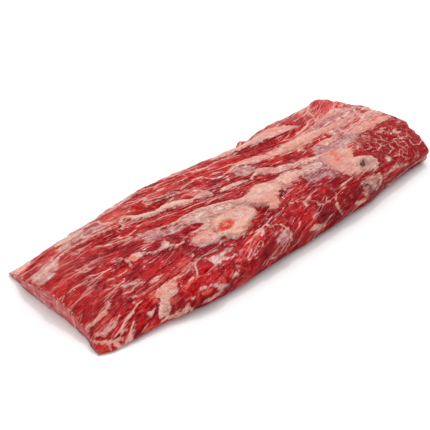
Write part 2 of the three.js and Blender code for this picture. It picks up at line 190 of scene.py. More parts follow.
# Round eyes in the fat, bowls, muscle hollows and swellings:
# (x, w), (reach along, reach across), turn in degrees, height.
MOUNDS = [
    ((-45.5, -31.5), (10, 6.5), 12, -1.9),
    ((114, -54), (6, 4.5), 25, -2.4),
    ((-45, -5), (38, 7), -14, 1.4),
    ((-72, -1), (36, 7), -8, 1.0),
    ((-5, -35), (6, 5), 0, -3.0),
    ((-106, -78), (19, 8), 0, 2.6),
    ((-72, 40), (26, 6), -6, -2.0),
    ((-66, 15), (26, 5), -10, -1.2),
    ((-50, -14), (16, 3.5), -6, -1.2),
    ((88, 27), (32, 5), -6, -1.5),
    ((85, 4), (40, 5), -3, -1.3),
    ((20, -6), (34, 3.5), -12, -0.8),
    ((-118, -20), (28, 9), 4, -1.8),
    ((95, -77), (10, 5), 60, -2.6),
    ((160, -44), (42, 27), 0, -1.2),
    ((63, 67), (8, 5), 0, 6.0),
    ((-8, 68), (62, 13), -4, -2.3),
    ((88, 62), (10, 7), 0, -2.6),
    ((123, 60), (12, 8), 0, -2.4),
    ((168, 60), (9, 6), 0, 2.4),
    ((181, 48), (6, 6), 0, -2.2),
    ((-135, -81), (15, 8), 0, 2.0),
    ((-20, -72), (13, 10), 0, 1.6),
    ((22, -70), (17, 9), 30, 1.6),
    ((-118, -48), (16, 5), 8, -1.4),
    ((-95, -62), (8, 7), 0, -1.8),
    ((55, -70), (16, 6), 20, -1.5),
    ((30, -88), (40, 4), 6, -1.2),
]

# Torn edges: the skin is raised on the side of the line that faces +w: height, run, (x, w) points.
TORN_EDGES = [
    (1.2, 12, [(-142, 1), (-138.5, -10), (-129, -12), (-120, -10), (-108, -15), (-100, -16),
               (-92, -20)]),
    (1.6, 14, [(-12, -20), (-8, -27), (-1, -33), (-3, -40), (1, -46), (8, -46), (15, -41), (17, -35),
               (32, -30), (36, -25)]),
    (1.2, 9, [(-80, -38), (-66, -41), (-52, -42), (-46, -49), (-30, -45), (-12, -37)]),
    (1.6, 9, [(-40, -83), (-28, -86), (-17, -85), (-8, -79), (-5.5, -72), (-6, -63), (-10, -60),
              (-16, -59)]),
    (1.6, 8, [(39, -78), (42, -68), (36, -58), (30, -54), (24, -50)]),
    (1.3, 7, [(-5, -76), (0, -70), (7, -67), (15, -65), (28, -63), (38, -65)]),
    (1.5, 8, [(60, -92), (53, -84), (46, -77), (40, -70)]),
    (1.2, 7, [(-70, -70), (-58, -76), (-44, -78), (-34, -72)]),
    (1.4, 10, [(36, 44), (58, 43), (70, 40), (83, 34), (108, 30)]),
    (1.4, 8, [(-124, -47), (-122, -54), (-126, -61), (-137, -61), (-140, -69)]),
]

# The two muscles meet at the seam. Fibres of the back one fall towards the front along the slab, by
# this much: (x, fall). Fibres of the front one rise along it, more so low on the front side.
SEAM = [(-210, -22), (-140, -14), (-100, -14), (-60, -26), (0, -34), (60, -32), (120, -48), (210, -80)]
BACK_RUN = [(-210, 0), (-165, 1), (-120, -3), (-80, -13), (-40, -25), (0, -35), (50, -46), (100, -54),
            (140, -56), (210, -50)]
FRONT_RISE, LOW_RISE = 0.12, 0.3
LOW_SIDE, LOW_MIDDLE, LOW_RUN = (-95, -45), 25, 70
FAN_RISE, FAN_START, FAN_EDGE = 0.35, 100, (-10, 60)
SEAM_BLEND = 5.0

# Hills, as length, width, height and seed: bundles of fibres, lumps of the cut and of the rest, crags
# of the back edge, the end faces, the wander of the fat's and films' edges, and the veins' bends.
BROAD_BUNDLES = [(110, 34, 1.2, 1), (75, 13, 0.9, 2)]
NARROW_BUNDLES = [(38, 6.5, 0.6, 3), (22, 3.2, 0.45, 4), (13, 1.9, 0.22, 5)]
CUT_LUMPS, SKIN_LUMPS, BACK_CRAGS = (4, 4, 0.5, 6), (4.5, 3, 0.3, 41), (5, 9, 0.5, 61)
THIN_FACE, FAR_FACE = (11, 6, 0.6, 9), (10, 7, 1.5, 9)
LONG_WANDER, SHORT_WANDER = (11, 2.4, 1.3, 21), (4, 3, 0.6, 22)
VEIN_BENDS = [(5, 5, 1.5, 31), (5, 5, 1.5, 32)]

# Soft edges, from where they start to where they are full. In millimetres: inside a pad, a film and the
# cut, past a torn line, w at the crags, and the height over which relief fades down to the floor. In
# shares: of a fat line's half-width, and of a mound's and a spot's ellipse.
PAD_EDGE, FILM_EDGE, CUT_EDGE, TEAR = (-1, 4), (-3, 3), (-1, 3), (-0.8, 0.6)
CRAG_EDGE, RELIEF_FADE = (48, 60), (1.5, 6)
LINE_EDGE, MOUND_EDGE, SPOT_EDGE = (-0.3, 0.6), (0.45, 1.15), (0.5, 1.3)

# The half-width from which a fat line wanders in full, the films' share of the wander, the share of the
# bundles that fat and the cut hide, and the thin end's rim of painted glow, light shining through the
# thin edge: run over the top, depth and strength.
FULL_WANDER, FILM_WANDER = 3, 1.5
FAT_HIDES, CUT_HIDES = 0.7, 0.6
RIM_RUN, RIM_DEPTH, RIM_GLOW = (0.3, 2.6), 0.6, 0.7

# Values of the fields for fat and for the cut where there is none, and of the cut on the end faces.
OUTSIDE, ON_FACE = -20.0, 60.0

# Films over the lean: cover, how grey-purple they are, then the outline as (x, w).
FILMS = {
    "seam film": (1.0, 0.0, [(-74, 4), (-60, 5), (-48, 2), (-38, -1), (-26, -5), (-12, -9), (-7, -20),
                             (-8, -32), (-20, -36), (-45, -34), (-60, -26), (-64, -18), (-56, -12),
                             (-66, -9), (-76, -2)]),
    "above the knob": (1.0, 1.0, [(-52, -12), (-40, -14), (-28, -12), (-26, -18), (-40, -20),
                                  (-52, -18)]),
    "seam silverskin": (0.85, 0.7, [(-110, 13), (-94, 11), (-80, 4), (-72, 1), (-66, -6), (-76, -7),
                                    (-92, -4), (-110, 0)]),
    "knob silverskin": (1.0, 0.6, [(-84, -26), (-76, -20), (-60, -20), (-54, -30), (-58, -42),
                                   (-66, -42), (-78, -37)]),
    "back membrane": (0.95, 0.5, [(11, 24), (20, 26), (30, 22), (33, 14), (28, 9), (18, 10), (12, 15)]),
    "grey strip": (0.9, 0.3, [(26, -12), (38, -13), (52, -12), (60, -16), (60, -25), (50, -29),
                              (40, -30), (30, -28)]),
    "front film": (0.95, 0.2, [(54, -24), (66, -19), (86, -20), (88, -30), (70, -31), (56, -30)]),
    "front silverskin": (0.8, 1.0, [(56, -27), (72, -27), (88, -26), (89, -50), (82, -55), (72, -51),
                                    (62, -52), (57, -42)]),
    "pad's upper film": (0.8, 0.1, [(84, -20), (96, -23), (112, -25), (122, -30), (116, -40),
                                    (100, -42), (88, -36)]),
    "end silverskin": (0.9, 0.6, [(92, -8), (104, -1), (120, -1), (140, -9), (150, -18), (140, -23),
                                  (118, -26), (98, -24), (88, -17)]),
    "back band": (0.85, 0.5, [(-185, 50), (-165, 56), (-140, 58), (-122, 55), (-112, 50), (-112, 44),
                              (-125, 45), (-145, 48), (-165, 49), (-182, 45)]),
    "thin end band": (1.0, 0.3, [(-208, 45), (-190, 47), (-178, 42), (-186, 30), (-208, 22)]),
    "far back": (0.65, 0.2, [(112, 22), (150, 30), (185, 33), (196, 12), (205, -14), (180, -17),
                             (150, -17), (135, -12), (124, -1), (118, 6)]),
    "far back veil": (0.9, 0.8, [(104, 18), (124, 22), (150, 24), (172, 28), (188, 30), (186, 18),
                                 (150, 14), (124, 15), (104, 13)]),
    "low loop": (0.6, 0.7, [(-20, -63), (-9, -64), (-7, -74), (-14, -82), (-24, -83), (-23, -72)]),
    "back rim": (1.0, 0.2, [(-168, 58), (-150, 59), (-130, 61), (-114, 64), (-120, 70), (-140, 71),
                            (-168, 70)]),
    "back edge": (0.6, 0.3, [(-130, 82), (-80, 84), (-50, 74), (-90, 64), (-125, 62)]),
    "low hollow": (0.8, 0.6, [(92, -64), (108, -65), (118, -72), (108, -84), (92, -84)]),
    "small front patch": (0.82, 0.3, [(-86, -48), (-78, -50), (-66, -50), (-54, -53), (-62, -57),
                                      (-70, -57), (-68, -62), (-76, -60), (-84, -61)]),
    "grey spot": (0.5, 0.8, [(-165, -24), (-150, -24), (-140, -30), (-146, -36), (-160, -33)]),
}

# Soft colour fields: (x, w), (reach along, reach across), turn in degrees, strength.
PALE = [
    ((-48, -63), (34, 7), 8, 0.5), ((155, 26), (50, 18), 0, 1.0), ((165, -3), (45, 10), 0, 0.8),
    ((75, 58), (34, 9), -5, 0.8), ((-200, 70), (16, 12), 0, 1.0), ((-192, -48), (20, 9), 0, 0.8),
    ((122, -26), (34, 9), -8, 0.9), ((150, 50), (40, 14), 0, 0.8), ((-172, 30), (40, 8), 3, 0.5),
    ((-192, 15), (50, 50), 0, 0.2), ((-100, 72), (50, 9), 0, 0.9), ((0, 62), (80, 8), -4, 0.6),
    ((95, -28), (16, 10), 0, 0.9), ((-133, -40), (12, 5), 0, 0.4), ((-70, -55), (22, 7), 6, 0.2),
    ((30, -70), (30, 8), 12, 0.2), ((100, 8), (60, 20), -5, 0.35), ((-150, 52), (50, 10), 0, 0.9),
    ((-125, -66), (12, 6), 0, 0.3), ((45, 20), (60, 9), -6, 0.4), ((-70, 30), (60, 26), 0, 0.4),
    ((-30, 45), (60, 14), -4, 0.45), ((-110, 55), (50, 10), 0, 0.6),
]
BRIGHT = [
    ((84, 28), (30, 7), -10, 0.8), ((85, 5), (34, 4), -6, 0.9), ((-150, -50), (9, 6), 0, 1.0),
    ((-106, -65), (18, 7), 8, 1.0), ((-84, -72), (10, 7), 0, 1.0), ((-92, -58), (8, 9), 0, 0.9),
    ((-45, -58), (24, 5), 8, 0.6), ((20, -62), (30, 7), 10, 0.7), ((64, -52), (14, 8), 15, 0.9),
    ((62, -66), (20, 7), 15, 0.7), ((-133, -8), (6, 3), 0, 1.0), ((-205, -58), (7, 6), 30, 1.0),
    ((-180, 70), (10, 9), 0, 1.0), ((-3, -34), (5, 4), 0, 0.8), ((-70, 12), (34, 5), -14, 0.5),
    ((-40, 50), (60, 9), -8, 0.5), ((20, 36), (60, 7), -8, 0.6), ((-120, -30), (24, 9), 0, 0.5),
    ((-107, -76), (10, 3), 0, 0.8), ((184, 5), (7, 4), 0, 0.9), ((158, -1), (14, 2.5), 4, 0.7),
    ((192, -10), (14, 2.5), -6, 0.8), ((95, -67), (24, 3), 0, 0.8), ((-20, -4), (24, 3), -8, 0.7),
]
# Darker lean: partly its own maroon patches, partly painted shade in the relief's hollows and along the low
# front side.
DARK_AND_SHADE = [
    ((-30, -82), (32, 8), 0, 0.8), ((-74, 38), (26, 5), -6, 0.9), ((-5, -38), (6, 3), 0, 1.0),
    ((24, -33), (14, 3), 10, 0.9), ((95, -76), (9, 4), 20, 1.0), ((-175, 7), (12, 4), 0, 0.5),
    ((-118, -28), (34, 8), 6, 0.5), ((-20, -52), (50, 4), 10, 0.6), ((50, -49), (14, 6), 12, 0.8),
    ((40, -76), (44, 6), 12, 0.9), ((20, -92), (110, 5), 3, 0.6), ((-114, -88), (12, 4), 0, 0.8),
    ((125, -40), (9, 3), 0, 0.7), ((-85, -38), (14, 5), 0, 0.5), ((140, -90), (50, 4), 0, 0.6),
    ((-70, -10), (12, 4), 0, 0.6), ((95, -11), (12, 4), -10, 0.6), ((150, -50), (40, 24), 0, 0.8),
    ((188, -38), (5, 4), 0, 1.0), ((66, 1), (36, 4), -10, 0.9), ((-12, -50), (24, 4), -8, 1.0),
    ((152, -2), (14, 2), 4, 0.8), ((148, 18), (16, 2.5), 12, 0.6), ((-8, -81), (6, 12), -20, 1.0),
    ((44, -68), (3, 12), 10, 1.0), ((60, -62), (18, 6), 20, 0.8), ((-34, -70), (12, 8), 0, 0.7),
    ((20, -78), (30, 4), 4, 0.8), ((0, -96), (160, 5), 2, 1.0), ((60, -34), (12, 6), 0, 0.5),
    ((145, -86), (60, 6), 2, 1.0), ((84, -76), (22, 5), -8, 0.9), ((0, -84), (90, 5), 0, 0.8),
    ((115, -70), (12, 2), -12, 1.0), ((-66, -12), (14, 4), 0, 0.9), ((-72, -44), (26, 4), 4, 0.8),
    ((70, 27), (24, 4), -12, 0.9), ((68, -44), (12, 9), 0, 0.8),
]
# The red eye and orange spots of fat and lean; the spots at (8, -38) and (101, -29) are painted glints.
ORANGE = [
    ((-45.5, -31.5), (11, 7), 12, 1.0), ((-133, -6), (7, 4), -20, 0.6), ((101, -29), (13, 6), 60, 0.5),
    ((8, -38), (4, 3), 0, 0.35), ((145, -4), (6, 2.5), 0, 0.6), ((192, -10), (10, 2.5), -10, 0.6),
    ((-146, -49), (5, 4), 0, 0.6), ((130, -4), (12, 3), -10, 0.5), ((182, -10), (14, 3), 10, 0.5),
    ((-88, -76), (5, 4), 0, 0.5), ((-107, -76), (8, 2.5), 0, 0.7),
]
# The grey eye, and painted shade: dark cores in two small holes and a faint painted shadow low on the front
# side.
GREY_AND_SHADE = [
    ((112.5, -54.5), (8, 3.4), 32, 1.0), ((115, -56), (13, 9), 20, 0.55),
    ((97, -76), (3.5, 2.4), 20, 1.0), ((148, -74), (2.5, 1.6), 0, 0.9), ((24, -85), (12, 5), -10, 0.25),
]
# Whiter fat: partly its own colour, partly painted highlight along the tops of the fat lines and the seam's
# raised fold.
WHITE_AND_HIGHLIGHT = [
    ((-85, 32), (26, 6), -14, 1.0), ((-50, 21), (20, 5), -20, 0.9), ((-66, 4), (16, 3), 0, 0.9),
    ((-36, -3), (22, 3.5), -14, 0.9), ((-125, -6), (16, 6), -10, 0.8), ((-160, 60), (30, 5), 0, 0.7),
    ((-42, -32), (19, 13), 10, 0.45), ((-26, -34), (12, 8), 0, 0.5), ((114, -47), (12, 5), -20, 0.5),
    ((50, -19), (10, 5), 0, 0.6), ((100, 15), (30, 3), -6, 0.4), ((60, 51), (20, 3), -6, 0.5),
    ((8, -18), (26, 8), 0, 0.5), ((-200, 38), (16, 3), 0, 0.6),
]
# Painted glow and highlights: light shining through the thin end's rim and corners.
PAINTED_GLOW = [
    ((-203, 68), (12, 12), 0, 1.0), ((-205, -62), (8, 9), 30, 0.6), ((-209, -22), (4, 36), 0, 0.6),
]
PINK = [
    ((155, 10), (56, 40), 0, 0.8), ((70, 50), (50, 9), -6, 0.6), ((60, 19), (50, 8), -6, 0.4),
    ((98, -38), (18, 20), 0, 1.0), ((5, -33), (12, 12), 0, 0.9), ((-195, -50), (24, 16), 0, 0.8),
    ((-72, -30), (12, 10), 0, 0.6), ((-140, -50), (20, 14), 0, 0.4),
]
CALM = [
    ((-72, -55), (20, 9), 0, 0.9), ((-25, -80), (36, 10), 0, 0.7), ((-188, 28), (46, 30), 0, 0.7),
    ((-188, -22), (34, 26), 0, 0.6), ((-122, -30), (28, 12), 0, 0.9), ((150, 42), (44, 12), 10, 0.5),
    ((-190, 70), (26, 10), 0, 0.8),
]

# The spots that each field of that name is made of.
SPOTS = {"pale": PALE, "bright": BRIGHT, "dark": DARK_AND_SHADE, "orange": ORANGE, "grey": GREY_AND_SHADE, "white": WHITE_AND_HIGHLIGHT,
         "glow": PAINTED_GLOW, "pink": PINK, "calm": CALM}

# Where the far end's top is cut across the fibres, and its thick white veins.
CUT_OUTLINE = [(116, -40), (124, -44), (134, -52), (128, -62), (143, -71), (170, -75), (200, -78),
               (206, -50), (206, -22), (192, -19), (170, -21), (152, -19), (133, -25)]
CUT_VEINS = [
    [(176, -49), (180, -43), (183, -36)], [(176, -49), (176, -44), (177, -38), (170, -33)],
    [(176, -49), (183, -51), (190, -47)], [(176, -49), (181, -56), (179, -64)],
    [(176, -49), (168, -47), (160, -49), (152, -46), (150, -38)], [(168, -47), (165, -54), (163, -60)],
    [(160, -49), (156, -56), (148, -58)], [(152, -46), (143, -48), (137, -45)],
    [(163, -60), (154, -66), (148, -64)], [(143, -33), (141, -40), (136, -42)],
    [(163, -28), (160, -36), (161, -43)], [(179, -64), (186, -67), (192, -64)],
]


# Patterns along the fibres: length, width, seed and how far they sway across.
WIDE, LONG, SHORT = (50.0, 5.0, 1.0, 4.0), (22.0, 1.8, 2.0, 4.0), (7.0, 2.4, 7.0, 9.0)
FLAKES, FINE, THREADS = (30.0, 16.0, 8.0, 4.0), (10.0, 1.5, 3.0, 4.0), (26.0, 2.4, 5.0, 6.0)
BROAD_CELLS, THIN_CELLS = (34.0, 7.0, 9.0, 9.0), (13.0, 2.6, 11.0, 6.0)
CLUMPS, FRINGE = (40.0, 8.0, 4.0, 4.0), (9.0, 1.3, 6.0, 4.0)
SWAY_LENGTH, SWAY_WIDTH = 25.0, 9.0
THREAD_EDGE = (0.008, 0.05)
BLOB_SQUEEZE = 7.0

# Patterns with no direction: how many in a metre, detail and roughness. The veins' web has only the
# first, and the cut face's layers have a number for each axis.
GRIT, PATCHES, MOTTLE = (220.0, 3.0, 0.7), (38.0, 2.0, 0.6), (150.0, 4.0, 0.7)
GRAINS, VEIN_GAPS = (170.0, 4.0, 0.85), (90.0, 1.0, 0.5)
VEIN_WEB = 150.0
FACE_LAYERS = (60.0, 150.0, 420.0)

# The finish: roughness of grooves and fibre backs, and of fat, and the height of the finest relief.
LEAN_ROUGHNESS, FAT_ROUGHNESS = (0.24, 0.42), 0.42
FINE_RELIEF = 1.8

# Tints, as red, green and blue on a screen.
TINTS = {
    "groove": (126, 4, 14), "lean": (188, 26, 30), "fibre's back": (212, 86, 80),
    "calm lean": (196, 58, 58), "bright lean": (204, 8, 14),
    "crimson patch": (140, 22, 38), "scarlet patch": (212, 30, 30),
    # The crease tint is painted shade in the crevices between fibre cells.
    "crease": (116, 8, 20), "thread": (234, 174, 162), "seam": (236, 178, 166),
    "cut lean": (184, 18, 24), "cut vein": (236, 186, 176),
    "thin film": (206, 122, 116), "whole film": (224, 178, 166), "folded film": (236, 210, 196),
    "thin silverskin": (140, 62, 76), "whole silverskin": (182, 116, 120),
    "folded silverskin": (212, 172, 170),
    "fat": (230, 182, 166), "fat hollow": (204, 114, 104), "fat grain": (243, 220, 206),
    "fat streak": (206, 126, 116), "fat crease": (208, 112, 104), "fat rim": (220, 128, 120),
    # The whitest fat tint is partly painted highlight.
    "pink fat": (222, 146, 134), "white fat and highlight": (234, 202, 187),
    "peach band": (228, 152, 130), "peach patch": (236, 164, 140), "mauve patch": (212, 150, 148),
    "eye": (226, 88, 64), "eye's pale grain": (238, 158, 130), "eye's core": (198, 38, 40),
    # The grey eye's core tint also paints shade into small holes.
    "grey eye": (164, 130, 122), "grey eye's core and hole shade": (84, 30, 40),
    "cut face": (200, 68, 74), "face layer": (226, 128, 130), "face vein": (244, 200, 196),
    # The rim tints are painted glow and highlight along the thin end's rim.
    "painted red rim glow": (222, 78, 70), "painted pale rim highlight": (246, 192, 180),
    "floor": (250, 250, 250),
}


# Shapes and fields


def smooth(table, at):
    """A cubic through a table's points, with slopes (harmonic means) that never overshoot them."""
    knots, values = np.array(table, float).T
    gaps = np.diff(knots)
    slopes = np.diff(values) / gaps
    product = slopes[1:] * slopes[:-1]
    inner = np.where(product > 0, 2 * product / np.where(product > 0, slopes[1:] + slopes[:-1], 1), 0)
    tangents = np.concatenate([slopes[:1], inner, slopes[-1:]])
    k = np.clip(np.searchsorted(knots, at, side="left") - 1, 0, len(knots) - 2)
    gap = gaps[k]
    u = np.clip((at - knots[k]) / gap, 0, 1)
    start = (2 * u**3 - 3 * u**2 + 1) * values[k] + (u**3 - 2 * u**2 + u) * gap * tangents[k]
    end = (3 * u**2 - 2 * u**3) * values[k + 1] + (u**3 - u**2) * gap * tangents[k + 1]
    return start + end


def ease(value, low, high):
    """0 below low, 1 above high and a smooth S between."""
    u = np.clip((value - low) / (high - low), 0, 1)
    return u * u * (3 - 2 * u)


class Section:
    """The slab's section at each x: a rounded block between the front and back edges."""

    def __init__(self, x):
        self.front = smooth(FRONT_EDGE, x)
        self.back = smooth(BACK_EDGE, x)
        self.thickness = smooth(THICKNESS, x)
        self.widest = smooth(WIDEST_HEIGHT, x)
        self.middle = (self.front + self.back) / 2 + smooth(CREST, x) * (self.back - self.front) / 2
        self.shoulders = smooth(FRONT_SHOULDER, x), smooth(BACK_SHOULDER, x)

    def place(self, t, r):
        """y and z of the block's outline point (t, r), where |across|^p + |up|^p = 1 on the rim."""
        power = np.where(r > 0, np.where(t < 0, *self.shoulders), LOWER_SHOULDER)

        def rounded(share):
            return (1 - np.minimum(share, 1) ** power) ** (1 / power)

        across = t * rounded(np.abs(r) * rounded(SHEET_REACH))
        up = r * rounded(np.abs(t) * SHEET_REACH)
        half = np.where(t < 0, self.middle - self.front, self.back - self.middle)
        z = np.where(up > 0, self.widest + (self.thickness - self.widest) * up, self.widest * (1 + up))
        return self.middle + across * half, z


def end_wander(wander, t):
    """An end's unevenness across the slab, from its size, how often it changes and its seed."""
    size, changes, seed = wander
    return size * hills(t * changes, 0 * t, seed)


def along_slab(s, t):
    """x of the block's point, and of the thin end and the far end at that t."""
    near = -HALF_LENGTH + smooth(THIN_END, t) + end_wander(THIN_WANDER, t)
    far = HALF_LENGTH + smooth(FAR_END, t) + end_wander(FAR_WANDER, t)
    return near + (far - near) * (s + 1) / 2, near, far


def slab_point(s, t, r):
    """The plain slab's point, with the far end's face swollen and its top edge lowered."""
    x, _, far = along_slab(s, t)
    section = Section(x)
    y, z = section.place(t, r)
    height = np.clip(z / section.thickness, 0, 1)
    swell = FAR_BULGE * 4 * height * (1 - height) * ease(s, FAR_BULGE_START, 1)
    drop = 1 - FAR_DROP * np.exp(-(((far - x) / FAR_DROP_RUN) ** 2))
    return np.stack([x + swell, y, z * drop], 1)


def skin_distance(s, t, r, steps=32):
    """w: the crest's y, plus or minus the length of the section's outline from the crest to (t, r)."""
    section = Section(along_slab(s, t)[0])
    side = np.where(t < 0, -1.0, 1.0)
    reach = np.where(np.abs(t) < 1, np.abs(t), 2 - r)
    y, z = section.place(0 * t, 1 + 0 * r)
    run = 0
    for k in range(1, steps + 1):
        u = reach * k / steps
        next_y, next_z = section.place(side * np.minimum(u, 1), np.minimum(1, 2 - u))
        run = run + np.hypot(next_y - y, next_z - z)
        y, z = next_y, next_z
    return section.middle + side * run


def beside_line(line, x, w):
    """Distance to a polyline, the side, the line's width there, and whether the point is beside it."""
    points = np.array(line, float)
    best = np.full(x.shape, np.inf)
    side, width, within = (np.zeros(x.shape) for _ in range(3))
    last = len(points) - 2
    for k, (start, end) in enumerate(zip(points, points[1:])):
        run, rise = end[:2] - start[:2]
        share = ((x - start[0]) * run + (w - start[1]) * rise) / (run**2 + rise**2)
        inside = ((k > 0) | (share > 0)) & ((k < last) | (share < 1))
        share = np.clip(share, 0, 1)
        distance = np.hypot(x - start[0] - share * run, w - start[1] - share * rise)
        nearer = distance < best
        best = np.where(nearer, distance, best)
        side = np.where(nearer, np.sign(run * (w - start[1]) - rise * (x - start[0])), side)
        width = np.where(nearer, start[-1] + share * (end[-1] - start[-1]), width)
        within = np.where(nearer, inside, within)
    return best, side, width, within


def inside_outline(outline, x, w):
    """Distance to a closed outline, positive inside it and negative outside."""
    distance = beside_line(outline + outline[:1], x, w)[0]
    crossings = np.zeros(x.shape, int)
    for (ax, aw), (bx, bw) in zip(outline, outline[1:] + outline[:1]):
        spans = (aw > w) != (bw > w)
        meets = x < (bx - ax) * (w - aw) / ((bw - aw) or 1) + ax
        crossings += spans & meets
    return np.where(crossings % 2 == 1, distance, -distance)


def ellipse(at, reach, turn, x, w):
    """0 in the middle of a turned ellipse, 1 on its rim and more outside."""
    angle = math.radians(turn)
    along = (x - at[0]) * math.cos(angle) + (w - at[1]) * math.sin(angle)
    across = (w - at[1]) * math.cos(angle) - (x - at[0]) * math.sin(angle)
    return np.hypot(along / reach[0], across / reach[1])


def scatter(i, j, seed):
    """An even spread of numbers from -1 to 1 over whole steps: the fraction of a large sine."""
    spread = np.sin(i * 127.1 + j * 311.7 + seed * 74.7) * 43758.5453
    return 2 * (spread - np.floor(spread)) - 1


def hills(u, v, seed):
    """Smooth hills and valleys between scattered heights at whole u and v."""
    i, j = np.floor(u), np.floor(v)
    a, b = ease(u - i, 0, 1), ease(v - j, 0, 1)
    near = scatter(i, j, seed) * (1 - a) + scatter(i + 1, j, seed) * a
    far = scatter(i, j + 1, seed) * (1 - a) + scatter(i + 1, j + 1, seed) * a
    return near * (1 - b) + far * b


def bumps(size, x, w):
    """Hills of one size, given as length, width, height and seed."""
    length, width, height, seed = size
    return height * hills(x / length, w / width, seed)


def across_back_fibres(x, w):
    """w less the back fibres' fall, fanned out at the far back corner."""
    fan = FAN_RISE * np.maximum(x - FAN_START, 0) * ease(w, *FAN_EDGE)
    return w - smooth(BACK_RUN, x) - fan


def across_front_fibres(x, w):
    """w less the front fibres' rise, which is steeper low on the front side."""
    low = LOW_RISE * (1 - ease(w, *LOW_SIDE)) * LOW_RUN * np.tanh((x - LOW_MIDDLE) / LOW_RUN)
    return w - FRONT_RISE * x - low


def ragged(x, w, back):
    """A few millimetres of wander for the edges of fat and film, stretched along the fibres."""
    along_back = bumps(LONG_WANDER, x, across_back_fibres(x, w))
    along_front = bumps(LONG_WANDER, x, across_front_fibres(x, w))
    return along_front * (1 - back) + along_back * back + bumps(SHORT_WANDER, x, w)


def fat_depth(x, w, wander):
    """How many millimetres inside a fat line or pad a point is, and the height that the fat stands up."""
    depth = np.full(x.shape, OUTSIDE)
    ridge = np.zeros(x.shape)
    for height, line in FAT_LINES:
        distance, _, half, _ = beside_line(line, x, w)
        inside = half - distance + wander * np.minimum(half / FULL_WANDER, 1)
        depth = np.maximum(depth, inside)
        ridge = np.maximum(ridge, height * ease(inside / half, *LINE_EDGE))
    for height, outline in FAT_PADS.values():
        inside = inside_outline(outline, x, w) + wander
        depth = np.maximum(depth, inside)
        ridge = np.maximum(ridge, height * ease(inside, *PAD_EDGE))
    return depth, ridge


def films(x, w, wander):
    """How strongly a film covers the lean, and how grey-purple the film is there, both from 0 to 1."""
    cover, purple = np.zeros(x.shape), np.zeros(x.shape)
    for strength, greyness, outline in FILMS.values():
        here = strength * ease(inside_outline(outline, x, w) + FILM_WANDER * wander, *FILM_EDGE)
        purple = np.where(here > cover, greyness, purple)
        cover = np.maximum(cover, here)
    return cover, purple


def mounds(x, w):
    """Every hollow and swelling: flat over the middle of its ellipse and eased down to the rim."""
    return sum(height * (1 - ease(ellipse(at, reach, turn, x, w), *MOUND_EDGE))
               for at, reach, turn, height in MOUNDS)


def torn_edges(x, w):
    """A sharp step up across each torn line, which eases down over its run."""
    total = np.zeros(x.shape)
    for height, run, line in TORN_EDGES:
        distance, side, _, within = beside_line(line, x, w)
        off = distance * side
        total += within * height * ease(off, *TEAR) * (1 - ease(off, TEAR[1], run))
    return total


def bundles(x, w, back):
    """Ridges of fibres, the broad ones and the narrow ones, along the back or the front muscle's run."""
    across_front, across_back = across_front_fibres(x, w), across_back_fibres(x, w)

    def ridges(sizes):
        in_front = sum(bumps(size, x, across_front) for size in sizes)
        behind = sum(bumps(size, x, across_back) for size in sizes)
        return in_front * (1 - back) + behind * back

    return ridges(BROAD_BUNDLES), ridges(NARROW_BUNDLES)


def spots(table, x, w):
    """The strongest of several soft ellipses at each point."""
    field = np.zeros(x.shape)
    for at, reach, turn, strength in table:
        field = np.maximum(field, strength * (1 - ease(ellipse(at, reach, turn, x, w), *SPOT_EDGE)))
    return field


# The slab's mesh


def sheet(along, across, reach, r, first):
    """A flat grid of the block: its (s, t, r) points and the array of their numbers."""
    rows, columns = (np.linspace(-reach, reach, count + 1) for count in (along, across))
    s, t = np.meshgrid(rows, columns, indexing="ij")
    points = np.stack([s.ravel(), t.ravel(), np.full(s.size, float(r))], 1)
    return points, first + np.arange(s.size).reshape(s.shape)


def rim_of(grid):
    """The numbers round a grid's edge, anticlockwise from above."""
    return np.concatenate([grid[:-1, 0], grid[-1, :-1], grid[:0:-1, -1], grid[0, :0:-1]])


def faces_of(grid, up):
    """The four-sided faces of a grid, facing up or down."""
    round_up = np.stack([grid[:-1, :-1], grid[1:, :-1], grid[1:, 1:], grid[:-1, 1:]], -1).reshape(-1, 4)
    return round_up if up else round_up[:, ::-1]


def block_grid():
    """A fine top, rings down the sides, and a half-fine underside joined on by a band of triangles."""
    points, top = sheet(ALONG, ACROSS, 1, 1, 0)
    quads = [faces_of(top, True)]
    ring = rim_of(top)
    on_rim = points[ring]
    parts = [points]
    count = len(points)
    for step in range(1, DOWN + 1):
        lower = count + np.arange(len(ring))
        ring_points = on_rim.copy()
        ring_points[:, 2] = 1 - 2 * step / DOWN
        parts.append(ring_points)
        quads.append(np.stack([ring, lower, np.roll(lower, -1), np.roll(ring, -1)], 1))
        ring = lower
        count += len(ring)
    low_points, low = sheet(ALONG // 2, ACROSS // 2, UNDERSIDE_REACH, -1, count)
    parts.append(low_points)
    quads.append(faces_of(low, False))
    inner = rim_of(low)
    first, second, third = ring[::2], ring[1::2], np.roll(ring[::2], -1)
    after = np.roll(inner, -1)
    band = [np.stack([first, inner, second], 1), np.stack([second, inner, after], 1),
            np.stack([second, after, third], 1)]
    return np.concatenate(parts), np.concatenate(quads), np.concatenate(band)


def vertex_normals(places, quads, triangles):
    """The sum of the normals of the faces round each point, made one long."""
    normals = np.zeros_like(places)
    for faces in (quads, triangles):
        a, b, c = (places[faces[:, k]] for k in (0, 1, 2))
        face_normals = np.cross(b - a, c - a)
        for k in range(faces.shape[1]):
            for axis in range(3):
                normals[:, axis] += np.bincount(faces[:, k], face_normals[:, axis], len(places))
    return normals / np.maximum(np.linalg.norm(normals, axis=1, keepdims=True), 1e-9)


